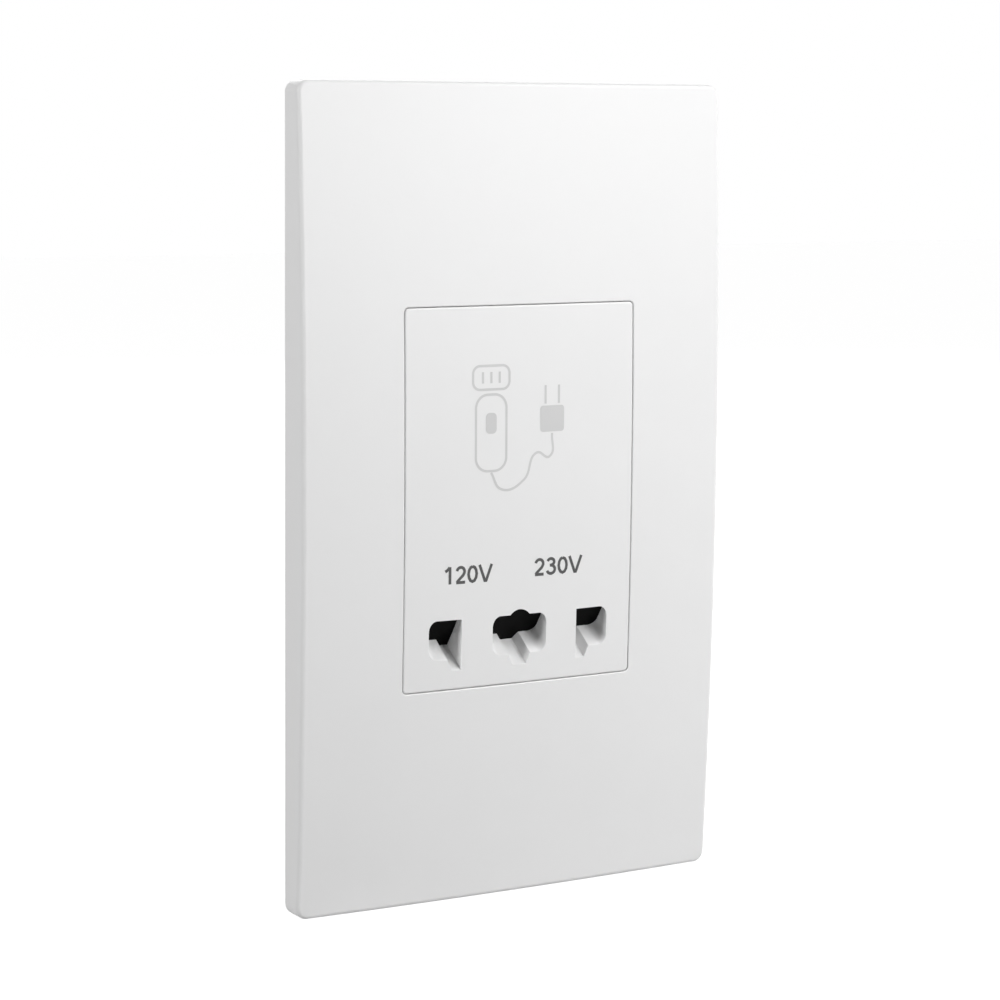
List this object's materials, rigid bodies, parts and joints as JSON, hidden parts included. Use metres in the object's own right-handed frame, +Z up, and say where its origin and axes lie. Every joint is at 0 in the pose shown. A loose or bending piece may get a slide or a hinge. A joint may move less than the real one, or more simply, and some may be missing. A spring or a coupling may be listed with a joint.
{
  "type": "shaver socket",
  "caption": "Flush dual-voltage shaver socket: tall crowned white cover plate, insert with inclined shuttered pin openings, rear housing with isolating transformer.",
  "frame": {"origin": "on the wall plane, halfway between the two box screws, which is the middle of the plate", "axes": "+X to the right seen from the front, +Y into the wall, +Z up"},
  "size_m": [0.086, 0.0481, 0.146],
  "materials": {
    "bobbin_nylon": "moulded",
    "carrier_grey": "matt",
    "contact_brass": "rolled strip",
    "copper_wire": "enamelled copper",
    "core_steel": "varnished laminations",
    "cover_white": "satin gloss",
    "cutout_case": "moulded",
    "frame_white": "fine spark-eroded",
    "housing_white": "fine spark-eroded",
    "lead_blue": "PVC",
    "lead_brown": "PVC",
    "lead_white": "PVC",
    "pin_tin": "tinned",
    "plunger_red": "smooth",
    "screw_steel": "zinc plated",
    "shutter_black": "matt",
    "spring_steel": "drawn wire",
    "switch_black": "matt",
    "terminal_brass": "turned",
    "terminal_moulding": "moulded",
    "winding_tape": "polyester film"
  },
  "bodies": {
    "housing": {"bobbin": "bobbin_nylon", "bobbin_pins": "pin_tin", "carrier_screws": "screw_steel", "contact_120v": "contact_brass", "contact_230v": "contact_brass", "contact_carrier": "carrier_grey", "contact_common": "contact_brass", "core_screws": "screw_steel", "front_plate": "cover_white", "housing_screws": "screw_steel", "lead_120v": "lead_white", "lead_230v": "lead_brown", "lead_common": "lead_blue", "lead_cutout": "lead_white", "lead_live": "lead_brown", "lead_neutral": "lead_blue", "lead_switched": "lead_brown", "primary_tape": "winding_tape", "primary_winding": "copper_wire", "rear_housing": "housing_white", "secondary_tape": "winding_tape", "secondary_winding": "copper_wire", "shutter_spring_left": "spring_steel", "shutter_spring_right": "spring_steel", "socket_face": "cover_white", "support_frame": "frame_white", "switch_body": "switch_black", "terminal_block": "terminal_moulding", "terminal_earth": "terminal_brass", "terminal_live": "terminal_brass", "terminal_neutral": "terminal_brass", "terminal_screws": "screw_steel", "thermal_cutout": "cutout_case", "transformer_core": "core_steel"},
    "shutter": {"shutter": "shutter_black"},
    "switch_plunger": {"switch_plunger": "plunger_red"}
  },
  "joints": [
    {"name": "shutter_slide", "type": "slide", "parent": "housing", "child": "shutter", "axis": [0, 0.9135, -0.4067], "range_m": [0, 0.0092], "stiffness_N_per_m": 80, "springref_m": -0.004, "deforming": ["shutter_spring_left", "shutter_spring_right"]},
    {"name": "plunger_slide", "type": "slide", "parent": "housing", "child": "switch_plunger", "axis": [0, 0.4067, 0.9135], "range_m": [0, 0.0015]}
  ],
  "couplings": [
    {"joint": "plunger_slide", "follows": "shutter_slide", "ratio": 0.163}
  ]
}
